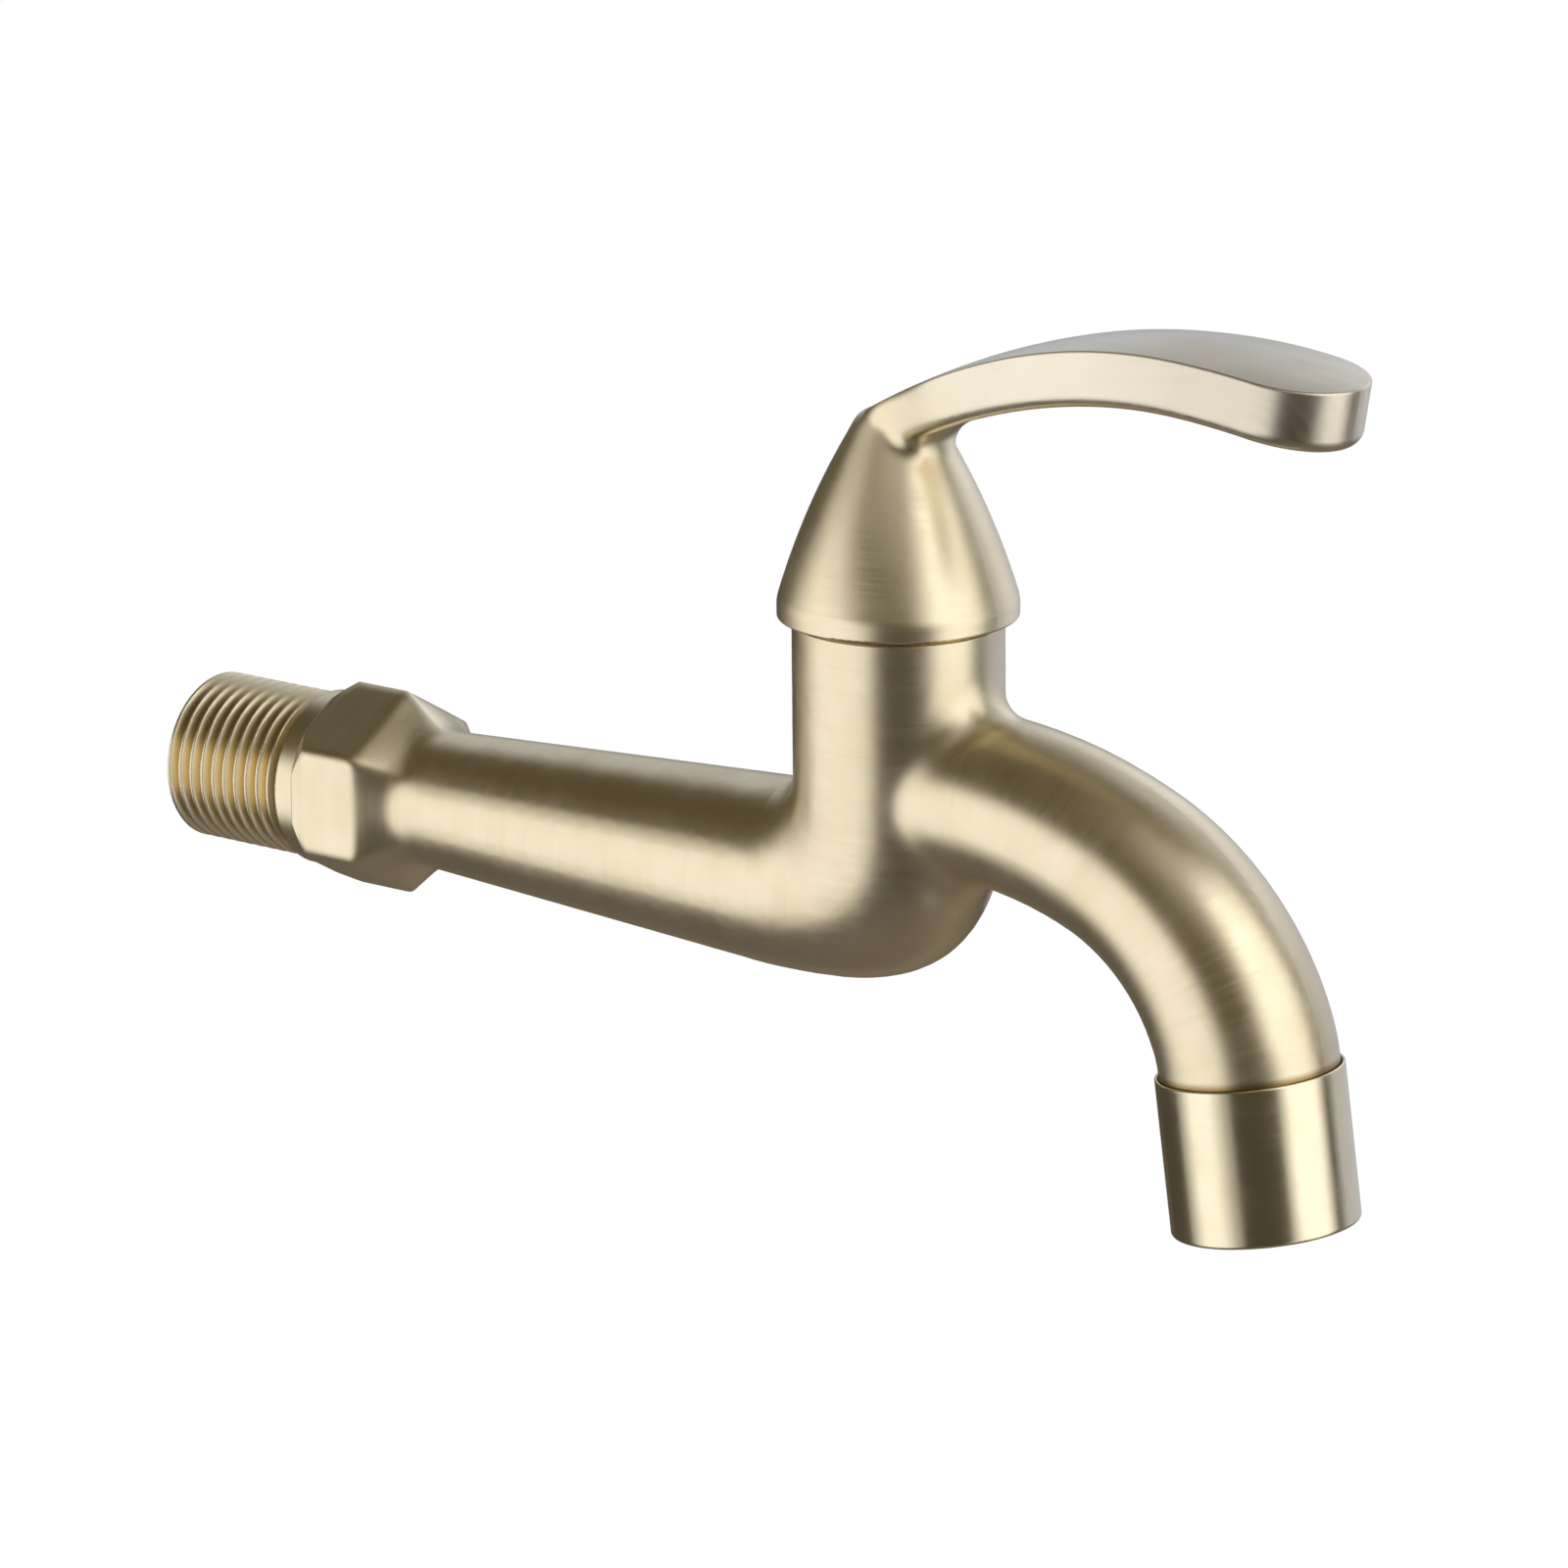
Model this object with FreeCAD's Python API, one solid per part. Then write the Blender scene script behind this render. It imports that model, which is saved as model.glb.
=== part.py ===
import FreeCAD
import Part
import math
import os

V = FreeCAD.Vector

# All sizes are in millimetres. X runs out of the wall along the inlet, Z is up, and the tap is
# symmetric about y = 0. The origin is on the inlet axis, at the shoulder that stops the thread.

# Inlet thread, half inch parallel pipe thread
pipe_thread_diameter = 20.955
pipe_thread_pitch = 1.814
inlet_thread_turns = 10
inlet_neck_length = 0.86
inlet_bore_diameter = 12.0

# Turned collar and hexagon behind the wall face
collar_diameter = 22.0
collar_length = 3.0
hex_across_flats = 22.7
hex_length = 9.7
hex_corner_radius = 0.6
hex_back_chamfer = 2.0
hex_chamfer_depth = 1.4
shoulder_length = 5.5
shoulder_radius = 1.2
shoulder_fillet = 5.0

# Arm, which swells from the hexagon to the elbow under the barrel
arm_root_diameter = 16.7
arm_end_diameter = 22.9

# Elbow, squarer on its outer side than a bent pipe, whose squareness would be 2
elbow_inner_radius = 4.0
elbow_squareness = 3.2

# Barrel that carries the headwork
barrel_reach = 88.6
barrel_diameter = 25.2
barrel_top = 33.6

# How many sections the skin of the arm, the elbow and the barrel is drawn through
section_points = 16
arm_sections = 16
elbow_sections = 6
barrel_sections = 5

# Blend between the barrel and the spout
spout_fillet = 4.6

# Spout: a straight start, then bends given as radius and angle, widening after the first one
spout_root_diameter = 20.3
spout_diameter = 21.2
spout_bore_diameter = 13.0
spout_height = 13.9
spout_straight = 10.6
spout_bends = ((55.6, 23.0), (30.8, 45.0), (21.0, 14.3))

# Valve seat and the chambers of the casting
seat_height = 8.0
seat_hole_diameter = 9.0
lower_chamber_diameter = 13.0
body_thread_depth = 11.0

# Running and fitting clearances
thread_clearance = 0.07
running_clearance = 0.06
slip_clearance = 0.1
chamber_clearance = 0.4
handle_gap = 0.7

# Headwork bonnet
bonnet_flange_diameter = 23.6
bonnet_flange_height = 2.4
bonnet_hex_across_flats = 17.0
bonnet_hex_height = 4.0
bonnet_neck_diameter = 13.0
bonnet_neck_height = 3.2
bonnet_thread_turns = 5
bonnet_skirt_diameter = 18.6
bonnet_skirt_bore = 16.0
bonnet_skirt_lift = 0.8
bonnet_ring_groove = 19.3
bonnet_ring_seat = 22.6
bonnet_ring_depth = 1.7
window_angle = 70.0
window_height = 6.4
disc_ear_width = 3.0

# Spindle and what turns with it
spindle_diameter = 10.0
spindle_drive_diameter = 14.6
spindle_drive_height = 4.0
spindle_waist_diameter = 7.6
spline_diameter = 7.9
spline_depth = 0.45
spline_teeth = 20
spline_length = 9.4
clip_groove_diameter = 6.9
clip_thickness = 0.8
clip_diameter = 11.8
clip_gap_angle = 60.0
o_ring_section = 1.3
o_ring_groove = 1.9
o_ring_spacing = 6.4
thrust_washer_thickness = 0.8
drive_key_width = 4.0
drive_key_depth = 1.4

# Ceramic discs and the seal under them
lower_disc_thickness = 3.4
upper_disc_thickness = 3.0
disc_port_inner = 2.0
disc_port_outer = 5.8
disc_port_angle = 80.0
seat_seal_height = 3.0
seat_seal_hole = 11.8
bonnet_o_ring_section = 1.5

# Handle bell, with heights measured from its lower edge
bell_foot_diameter = 28.7
bell_edge_radius = 0.3
bell_band_height = 2.1
bell_band_radius = 4.0
bell_waist_diameter = 22.5
bell_waist_height = 12.3
bell_waist_radius = 90.0
bell_top_diameter = 9.2
bell_top_height = 24.3
bell_top_radius = 3.0
bell_crown_height = 25.9
bell_mouth_diameter = 24.2
bell_wall = 2.2
bell_cavity_height = 10.8

# Lever, with reaches measured from the barrel axis and heights from the top of the barrel
lever_line = (
    # reach, height of the top, thickness at the edges
    (-10.0, 20.9, 6.3),
    (5.0, 29.7, 6.1),
    (14.0, 33.7, 6.3),
    (27.0, 37.4, 6.5),
    (42.0, 38.9, 6.7),
    (55.0, 38.1, 7.1),
    (66.0, 35.9, 7.3),
)
lever_widths = ((3.0, 9.6), (9.0, 11.8), (20.0, 13.6), (40.0, 15.4))
lever_tip_width = 17.0
lever_length = 64.4
lever_tip_length = 9.4
lever_nose_lean = 10.0
lever_crown = 0.6
lever_low_edge_radius = 1.6
lever_top_edge_radius = 0.3
lever_root_fillet = 2.8

# Grub screw that clamps the handle on the splines
grub_diameter = 5.0
grub_length = 4.4
grub_socket_flats = 2.5
grub_socket_depth = 2.0
grub_height = 15.6

# Aerator on the spout mouth, with heights measured down its own axis from the upper lip
aerator_step = 0.5
aerator_length = 18.7
aerator_lip_depth = 1.2
aerator_lip_gap = 0.17
aerator_foot_height = 2.3
aerator_edge_round = 0.4
aerator_outlet_diameter = 16.4
mouth_thread_diameter = 20.0
mouth_thread_pitch = 1.0
mouth_thread_turns = 5
gasket_thickness = 1.8
gasket_hole = 13.8
housing_wall = 1.1
housing_flange_height = 1.2
housing_ledge = 0.8
housing_ledge_height = 0.5
air_slot_count = 8
air_slot_width = 2.0
air_slot_height = 2.0
strainer_wall = 0.6
strainer_rise = 2.4
strainer_dome = 12.4
strainer_hole = 0.9
flow_disc_thickness = 1.2
flow_hole_diameter = 1.1
screen_thickness = 0.35
screen_hole = 1.5
screen_web = 0.45
grid_flange_height = 0.8
grid_height = 2.6
grid_cell = 2.1
grid_web = 0.45

# Sizes that follow from the ones above
thread_slope = math.tan(math.radians(27.5))
pipe_thread_depth = 0.64 * pipe_thread_pitch
inlet_thread_length = inlet_thread_turns * pipe_thread_pitch + inlet_neck_length
hex_start = collar_length
hex_end = hex_start + hex_length
arm_start = hex_end + shoulder_length
barrel_radius = barrel_diameter / 2
chamber_diameter = bonnet_skirt_diameter + 2 * chamber_clearance
seal_top = seat_height + seat_seal_height
lower_disc_top = seal_top + lower_disc_thickness
upper_disc_base = lower_disc_top + 0.02
upper_disc_top = upper_disc_base + upper_disc_thickness
drive_base = upper_disc_top + 0.05
drive_top = drive_base + spindle_drive_height
washer_base = drive_top + 0.05
bonnet_ceiling = washer_base + thrust_washer_thickness + 0.05
flange_top = barrel_top + bonnet_flange_height
bonnet_hex_top = flange_top + bonnet_hex_height
bonnet_top = bonnet_hex_top + bonnet_neck_height
clip_base = bonnet_top + slip_clearance
clip_top = clip_base + clip_thickness
spline_base = clip_top + 0.7
spline_top = spline_base + spline_length
bell_foot = barrel_top + handle_gap
lever_zero = barrel_top
grub_axis = barrel_top + grub_height
bell_cavity_top = bell_foot + bell_cavity_height
skirt_base = seat_height + bonnet_skirt_lift
bonnet_thread_top = barrel_top - bonnet_ring_depth
bonnet_thread_base = bonnet_thread_top - bonnet_thread_turns * pipe_thread_pitch
shaft_bore = spindle_diameter + 2 * running_clearance
port_disc_diameter = bonnet_skirt_bore - 2 * slip_clearance
aerator_diameter = spout_diameter + 2 * aerator_step
spout_end = aerator_lip_depth + (mouth_thread_turns + 0.4) * mouth_thread_pitch
aerator_bore = mouth_thread_diameter - 1.2
gasket_base = spout_end + 0.02
housing_top = gasket_base + gasket_thickness + 0.02
aerator_shoulder = aerator_length - aerator_foot_height
housing_foot = aerator_shoulder - slip_clearance / 2
housing_diameter = aerator_bore - 2 * slip_clearance - 1.0
insert_diameter = housing_diameter - 2 * housing_wall
grid_top = housing_foot - housing_ledge_height - slip_clearance / 2 - grid_flange_height
outer_screen_top = grid_top - 0.02 - screen_thickness
inner_screen_top = outer_screen_top - 0.02 - screen_thickness
flow_disc_top = housing_top + housing_flange_height + 0.3
ledge_top = flow_disc_top + flow_disc_thickness + 0.02
strainer_base = flow_disc_top - 0.02


def place(shape, base, direction):
    """Moves a shape made about +Z at the origin so that its axis runs from base along direction."""
    turn = FreeCAD.Rotation(V(0, 0, 1), V(*direction))
    moved = shape.copy()
    moved.Placement = FreeCAD.Placement(V(*base), turn).multiply(moved.Placement)
    return moved


def on_barrel(shape):
    """Moves a shape made about the Z axis onto the barrel axis."""
    return shape.translated(V(barrel_reach, 0, 0))


def rod(diameter, base, top):
    return Part.makeCylinder(diameter / 2, top - base, V(0, 0, base))


def tube(outer, inner, base, top):
    return rod(outer, base, top).cut(rod(inner, base - 1, top + 1))


def hexagon(across_flats, base, top):
    """A hexagonal prism about Z, with two of its flats facing along Y."""
    radius = across_flats / math.sqrt(3)
    corners = []
    for step in range(7):
        angle = math.radians(60 * step)
        corners.append(V(radius * math.cos(angle), radius * math.sin(angle), base))
    return Part.Face(Part.makePolygon(corners)).extrude(V(0, 0, top - base))


def sector(inner, outer, centre_angle, width_angle, base, top):
    """A ring sector about Z between two diameters, centred on an angle in degrees."""
    wedge = Part.makeCylinder(outer / 2, top - base, V(0, 0, base), V(0, 0, 1), width_angle)
    if inner:
        wedge = wedge.cut(rod(inner, base - 1, top + 1))
    wedge.rotate(V(0, 0, 0), V(0, 0, 1), centre_angle - width_angle / 2)
    return wedge


def block(length, width, base, top):
    """A block about Z, with its length along X."""
    return Part.makeBox(length, width, top - base, V(-length / 2, -width / 2, base))


def ring(inner, section, height):
    """An O-ring about Z that lies on an inner diameter, with its middle at a height."""
    return Part.makeTorus(inner / 2 + section / 2, section / 2, V(0, 0, height))


def outline(points, to_vector):
    """Closed edges through points (a, b) or (a, b, radius): a radius rounds that corner."""
    count = len(points)
    flat = [V(p[0], p[1], 0) for p in points]
    edges = []
    last = None
    first = None
    for i in range(count):
        here = flat[i]
        radius = points[i][2] if len(points[i]) > 2 else 0.0
        if radius:
            back = (flat[i - 1] - here).normalize()
            ahead = (flat[(i + 1) % count] - here).normalize()
            half = back.getAngle(ahead) / 2
            reach = radius / math.tan(half)
            start = here + back * reach
            end = here + ahead * reach
            inward = (back + ahead).normalize()
            middle = here + inward * (radius / math.sin(half) - radius)
            arc = Part.Arc(to_vector(start), to_vector(middle), to_vector(end)).toShape()
        else:
            start = here
            end = here
            arc = None
        if last is not None and (start - last).Length > 1e-6:
            edges.append(Part.LineSegment(to_vector(last), to_vector(start)).toShape())
        if first is None:
            first = start
        if arc:
            edges.append(arc)
        last = end
    edges.append(Part.LineSegment(to_vector(last), to_vector(first)).toShape())
    return Part.Wire(edges)


def turned(points):
    """A solid turned about Z from points (radius, height[, corner radius])."""
    wire = outline(points, lambda p: V(p.x, 0, p.y))
    return Part.Face(wire).revolve(V(0, 0, 0), V(0, 0, 1), 360)


def turned_about_x(points):
    """A solid turned about X from points (x, radius[, corner radius])."""
    wire = outline(points, lambda p: V(p.x, 0, p.y))
    return Part.Face(wire).revolve(V(0, 0, 0), V(1, 0, 0), 360)


def thread_points(start, turns, pitch, crest_radius, depth):
    """Points (position, radius) of ridges with the pitch and depth of a thread, from start on."""
    flat = pitch / 2 - depth * thread_slope
    points = []
    for turn in range(turns):
        base = start + turn * pitch
        root = crest_radius - depth
        points.append((base + flat / 2, root))
        points.append((base + flat / 2 + depth * thread_slope, crest_radius))
        points.append((base + flat * 1.5 + depth * thread_slope, crest_radius))
        points.append((base + flat * 1.5 + 2 * depth * thread_slope, root))
    return points


def threaded_rod(length, turns, pitch, diameter, depth):
    """A threaded rod about Z from z = 0, with a plain neck where the turns end."""
    root = diameter / 2 - depth
    points = [(0, 0), (root, 0)]
    for position, radius in thread_points(0, turns, pitch, diameter / 2, depth):
        points.append((radius, position))
    points.append((root, length))
    points.append((0, length))
    return turned(points)


def quarter_ellipse(centre, first, second):
    """A quarter of an ellipse from centre + first to centre + second."""
    longer, shorter = (first, second) if first.Length >= second.Length else (second, first)
    ellipse = Part.Ellipse(centre + longer, centre + shorter, centre)
    return Part.ArcOfEllipse(ellipse, 0, math.pi / 2).toShape()


def oval(centre, along, half_along, half_across):
    """A closed smooth line about centre: half_along long on both sides, in a direction square to Y."""
    points = []
    for step in range(section_points):
        angle = 2 * math.pi * step / section_points
        side = V(0, half_across * math.sin(angle), 0)
        points.append(centre - along * (half_along * math.cos(angle)) + side)
    curve = Part.BSplineCurve()
    curve.interpolate(Points=points, PeriodicFlag=True)
    return Part.Wire(curve.toShape())


def junction_edges(joined, first, second):
    """The edges of a joined shape along which the skins of the first and second solid meet."""
    found = []
    for edge in joined.Edges:
        middle = Part.Vertex(edge.valueAt((edge.FirstParameter + edge.LastParameter) / 2))
        on_first = first.Shells[0].distToShape(middle)[0] < 1e-3
        on_second = second.Shells[0].distToShape(middle)[0] < 1e-3
        if on_first and on_second:
            found.append(edge)
    return found


def heading_vector(heading):
    """Direction along the spout for an angle in degrees below the horizontal."""
    angle = math.radians(heading)
    return V(math.cos(angle), 0, -math.sin(angle))


def spout_bend(point, heading, radius, angle):
    """One bend of the spout's centre line: its middle and end points and its hinge point."""
    hinge = point + heading_vector(heading + 90) * radius
    middle = hinge - heading_vector(heading + angle / 2 + 90) * radius
    end = hinge - heading_vector(heading + angle + 90) * radius
    return middle, end, hinge


def spout_round(inset, root_diameter, mouth_diameter):
    """A round that follows the spout from a reach past the barrel axis, with its end and heading."""
    start = V(barrel_reach + inset, 0, spout_height)
    point = V(barrel_reach + spout_straight, 0, spout_height)
    first_radius, heading = spout_bends[0]
    middle, end, hinge = spout_bend(point, 0.0, first_radius, heading)
    disc = Part.Face(Part.Wire(Part.makeCircle(root_diameter / 2, start, V(1, 0, 0))))
    pieces = [disc.extrude(point - start)]
    pieces.append(disc.translated(point - start).revolve(hinge, V(0, 1, 0), heading))
    narrow = Part.Wire(Part.makeCircle(root_diameter / 2, end, heading_vector(heading)))
    line = []
    for radius, angle in spout_bends[1:]:
        point = end
        middle, end, hinge = spout_bend(point, heading, radius, angle)
        heading += angle
        line.append(Part.Arc(point, middle, end).toShape())
    wide = Part.Wire(Part.makeCircle(mouth_diameter / 2, end, heading_vector(heading)))
    pieces.append(Part.Wire(line).makePipeShell([narrow, wide], True, False))
    return pieces[0].multiFuse(pieces[1:]), end, heading


mouth_point, mouth_heading = spout_round(0.0, spout_root_diameter, spout_diameter)[1:]
mouth_axis = heading_vector(mouth_heading)


def on_mouth(shape):
    """Moves a shape made about Z, with z counted down from the aerator's lip, onto the mouth."""
    return place(shape, tuple(mouth_point), tuple(mouth_axis))


def hexagon_with_shoulder():
    """The hexagon, chamfered towards the thread, and the shoulder that draws it in to a round."""
    radius = hex_across_flats / math.sqrt(3)
    corners = []
    for step in range(6):
        angle = math.radians(90 + 60 * step)
        corners.append((radius * math.cos(angle), radius * math.sin(angle), hex_corner_radius))
    outer = outline(corners, lambda p: V(hex_end, p.x, p.y))
    inner = Part.Wire(Part.makeCircle(arm_root_diameter / 2 - 0.2, V(arm_start, 0, 0), V(1, 0, 0)))
    solid = Part.Face(outer).extrude(V(hex_start - hex_end, 0, 0))
    solid = solid.fuse(Part.makeLoft([outer, inner], True, True))
    edges = [edge for edge in solid.Edges if abs(edge.BoundBox.XMin - hex_end) < 0.01
             and abs(edge.BoundBox.XMax - hex_end) < 0.01]
    solid = solid.makeFillet(shoulder_radius, edges)
    chamfered = turned_about_x([
        (hex_start, 0),
        (hex_start, radius - hex_chamfer_depth),
        (hex_start + hex_back_chamfer, radius),
        (arm_start, radius),
        (arm_start, 0),
    ])
    return solid.common(chamfered)


def arm_and_barrel():
    """The arm, the elbow and the barrel in one skin, drawn through sections that turn about a hinge."""
    arm_radius = arm_end_diameter / 2
    hinge = V(barrel_reach - barrel_radius - elbow_inner_radius, 0, arm_radius + elbow_inner_radius)
    start = hex_end + 1
    sections = []
    for step in range(arm_sections):
        part = step / arm_sections
        radius = arm_root_diameter / 2 * (1 - part) + arm_radius * part
        sections.append(oval(V(start + (hinge.x - start) * part, 0, 0), V(0, 0, -1), radius, radius))
    for step in range(elbow_sections + 1):
        angle = math.pi / 2 * step / elbow_sections
        outwards = V(math.sin(angle), 0, -math.cos(angle))
        over_arm = abs(math.cos(angle)) / (elbow_inner_radius + arm_end_diameter)
        over_barrel = math.sin(angle) / (elbow_inner_radius + barrel_diameter)
        far = (over_arm ** elbow_squareness + over_barrel ** elbow_squareness) ** (-1 / elbow_squareness)
        half_depth = (far - elbow_inner_radius) / 2
        half_width = arm_radius * math.cos(angle) ** 2 + barrel_radius * math.sin(angle) ** 2
        centre = hinge + outwards * (elbow_inner_radius + half_depth)
        sections.append(oval(centre, outwards, half_depth, half_width))
    for step in range(1, barrel_sections + 1):
        height = hinge.z + (barrel_top - hinge.z) * step / barrel_sections
        sections.append(oval(V(barrel_reach, 0, height), V(1, 0, 0), barrel_radius, barrel_radius))
    return Part.makeLoft(sections, True).Solids[0]


def blended(first, second, radius):
    """Two solids in one, with a fillet along the edges where their skins meet."""
    joined = first.fuse(second)
    return joined.makeFillet(radius, junction_edges(joined, first, second)).Solids[0]


def mouth_thread():
    """The threaded end of the spout that the aerator screws onto, about Z."""
    depth = 0.6 * mouth_thread_pitch
    crest = mouth_thread_diameter / 2
    neck = aerator_lip_depth - slip_clearance
    points = [(0, 0), (spout_diameter / 2, 0), (spout_diameter / 2, neck), (crest - depth, neck)]
    for position, radius in thread_points(aerator_lip_depth + 0.2 * mouth_thread_pitch,
                                          mouth_thread_turns, mouth_thread_pitch, crest, depth):
        points.append((radius, position))
    points.append((crest - depth, spout_end))
    points.append((0, spout_end))
    return turned(points)


def tap_body():
    """The one-piece casting: thread, collar, hexagon, arm, barrel and spout, with its waterway."""
    spout = spout_round(0.0, spout_root_diameter, spout_diameter)[0]
    outside = blended(hexagon_with_shoulder(), arm_and_barrel(), shoulder_fillet)
    outside = blended(outside, spout, spout_fillet)

    thread = threaded_rod(inlet_thread_length, inlet_thread_turns, pipe_thread_pitch,
                          pipe_thread_diameter, pipe_thread_depth)
    thread = place(thread, (-inlet_thread_length, 0, 0), (1, 0, 0))
    collar = place(rod(collar_diameter, 0, collar_length), (0, 0, 0), (1, 0, 0))
    outside = outside.multiFuse([thread, collar, on_mouth(mouth_thread())])

    inlet = rod(inlet_bore_diameter, -1, inlet_thread_length + barrel_reach)
    hollows = [
        place(inlet, (-inlet_thread_length, 0, 0), (1, 0, 0)),
        on_barrel(Part.makeSphere(lower_chamber_diameter / 2)),
        on_barrel(rod(seat_hole_diameter, 0, seat_height + 1)),
        on_barrel(rod(chamber_diameter, seat_height, barrel_top + 1)),
        on_barrel(rod(pipe_thread_diameter + 2 * thread_clearance,
                      barrel_top - body_thread_depth, barrel_top + 1)),
        on_barrel(rod(bonnet_ring_seat, barrel_top - bonnet_ring_depth, barrel_top + 1)),
        spout_round(chamber_diameter / 2 - 1, spout_bore_diameter, spout_bore_diameter)[0],
        on_mouth(rod(spout_bore_diameter, 0, spout_end + 1)),
    ]
    return outside.cut(hollows)


def valve_bonnet():
    """The brass headwork that screws into the barrel and holds the discs and the spindle."""
    root = pipe_thread_diameter / 2 - pipe_thread_depth
    points = [
        (bonnet_skirt_bore / 2, skirt_base),
        (bonnet_skirt_diameter / 2, skirt_base),
        (bonnet_skirt_diameter / 2, bonnet_thread_base),
        (root, bonnet_thread_base),
    ]
    for position, radius in thread_points(bonnet_thread_base, bonnet_thread_turns, pipe_thread_pitch,
                                          pipe_thread_diameter / 2, pipe_thread_depth):
        points.append((radius, position))
    points += [
        (root, bonnet_thread_top),
        (bonnet_ring_groove / 2, bonnet_thread_top + 0.1),
        (bonnet_ring_groove / 2, barrel_top),
        (bonnet_flange_diameter / 2, barrel_top),
        (bonnet_flange_diameter / 2, flange_top, 0.4),
        (bonnet_neck_diameter / 2, flange_top),
        (bonnet_neck_diameter / 2, bonnet_top, 0.5),
        (shaft_bore / 2, bonnet_top),
        (shaft_bore / 2, bonnet_ceiling),
        (bonnet_skirt_bore / 2, bonnet_ceiling),
    ]
    shell = turned(points)
    nut = hexagon(bonnet_hex_across_flats, flange_top - 0.2, bonnet_hex_top)
    nut = nut.cut(rod(bonnet_neck_diameter - 1, flange_top - 1, bonnet_hex_top + 1))
    shell = shell.fuse(nut)
    openings = []
    for side in (0, 180):
        openings.append(sector(bonnet_skirt_bore - 2, bonnet_skirt_diameter + 2, side, window_angle,
                               lower_disc_top + 0.3, lower_disc_top + 0.3 + window_height))
    slot_width = disc_ear_width + 2 * slip_clearance
    openings.append(block(slot_width, bonnet_skirt_diameter + 2, skirt_base - 1,
                          lower_disc_top + slip_clearance))
    return on_barrel(shell.cut(openings))


def splined(diameter, base, top):
    """A straight splined rod about Z, measured over its teeth."""
    corners = []
    tooth = 360 / spline_teeth
    for i in range(spline_teeth):
        for share, radius in ((0.05, diameter / 2), (0.40, diameter / 2),
                              (0.55, diameter / 2 - spline_depth), (0.90, diameter / 2 - spline_depth)):
            angle = math.radians(tooth * (i + share))
            corners.append(V(radius * math.cos(angle), radius * math.sin(angle), base))
    corners.append(corners[0])
    return Part.Face(Part.makePolygon(corners)).extrude(V(0, 0, top - base))


def o_ring_heights():
    """Heights of the two O-rings on the spindle, even about the middle of the bonnet's bore."""
    middle = (bonnet_ceiling + bonnet_top) / 2
    return middle - o_ring_spacing / 2, middle + o_ring_spacing / 2


def valve_spindle():
    """The spindle: drive plate and key at its foot, two ring grooves, clip groove, splined head."""
    groove = shaft_bore / 2 - o_ring_section - 0.02
    low, high = o_ring_heights()
    shaft = spindle_diameter / 2
    head = spline_diameter / 2 - spline_depth
    points = [(0, drive_base), (spindle_drive_diameter / 2, drive_base),
              (spindle_drive_diameter / 2, drive_top), (shaft, drive_top)]
    for height in (low, high):
        points += [(shaft, height - o_ring_groove / 2), (groove, height - o_ring_groove / 2),
                   (groove, height + o_ring_groove / 2), (shaft, height + o_ring_groove / 2)]
    points += [(shaft, bonnet_top), (clip_groove_diameter / 2, bonnet_top),
               (clip_groove_diameter / 2, clip_top + 0.05), (spline_diameter / 2, clip_top + 0.05),
               (spline_diameter / 2, spline_base), (head, spline_base), (head, spline_top), (0, spline_top)]
    solid = turned(points)
    key = block(spindle_drive_diameter - 2, drive_key_width, drive_base - drive_key_depth, drive_base + 1)
    sides = [sector(spindle_waist_diameter, bonnet_skirt_bore, side, disc_port_angle,
                    drive_base - 1, drive_base + spindle_drive_height / 2) for side in (90, 270)]
    solid = solid.cut(sides).multiFuse([key, splined(spline_diameter, spline_base, spline_top)])
    return on_barrel(solid.removeSplitter())


def o_ring_on_spindle(height):
    inner = shaft_bore - 2 * o_ring_section - 0.02
    return on_barrel(ring(inner, o_ring_section, height))


def thrust_washer():
    return on_barrel(tube(bonnet_skirt_bore - 2 * slip_clearance - 1, spindle_diameter + 2 * slip_clearance,
                          washer_base, washer_base + thrust_washer_thickness))


def retaining_clip():
    """An open spring clip in the groove above the bonnet."""
    clip = tube(clip_diameter, clip_groove_diameter + slip_clearance, clip_base, clip_top)
    return on_barrel(clip.cut(sector(0, clip_diameter + 2, 180, clip_gap_angle, clip_base - 1, clip_top + 1)))


def lower_ceramic_disc():
    """The fixed disc, with two ports and two ears that stop it turning in the bonnet."""
    disc = rod(port_disc_diameter, seal_top, lower_disc_top)
    ears = block(disc_ear_width, bonnet_skirt_diameter - 2 * slip_clearance, seal_top, lower_disc_top)
    disc = disc.fuse(ears)
    ports = [sector(2 * disc_port_inner, 2 * disc_port_outer, side, disc_port_angle, seal_top - 1,
                    lower_disc_top + 1) for side in (0, 180)]
    return on_barrel(disc.cut(ports))


def upper_ceramic_disc():
    """The turning disc: two plain sectors that cover the ports, and a slot for the drive key."""
    disc = rod(port_disc_diameter - 0.2, upper_disc_base, upper_disc_top)
    gaps = [sector(2 * disc_port_inner, bonnet_skirt_bore + 2, side, disc_port_angle,
                   upper_disc_base - 1, upper_disc_top + 1) for side in (90, 270)]
    slot = block(bonnet_skirt_bore + 2, drive_key_width + 2 * slip_clearance,
                 drive_base - drive_key_depth - slip_clearance, upper_disc_top + 1)
    return on_barrel(disc.cut(gaps).cut(slot))


def seat_seal():
    return on_barrel(tube(port_disc_diameter, seat_seal_hole, seat_height, seal_top))


def bonnet_o_ring():
    middle = barrel_top - bonnet_ring_depth / 2
    return on_barrel(ring(bonnet_ring_groove + 0.02, bonnet_o_ring_section, middle))


def handle_bell():
    """The bell of the handle, solid, before it is hollowed."""
    foot = bell_foot
    return turned([
        (0, foot),
        (bell_foot_diameter / 2, foot, bell_edge_radius),
        (bell_foot_diameter / 2, foot + bell_band_height, bell_band_radius),
        (bell_waist_diameter / 2, foot + bell_waist_height, bell_waist_radius),
        (bell_top_diameter / 2, foot + bell_top_height, bell_top_radius),
        (0, foot + bell_crown_height),
    ])


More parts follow.
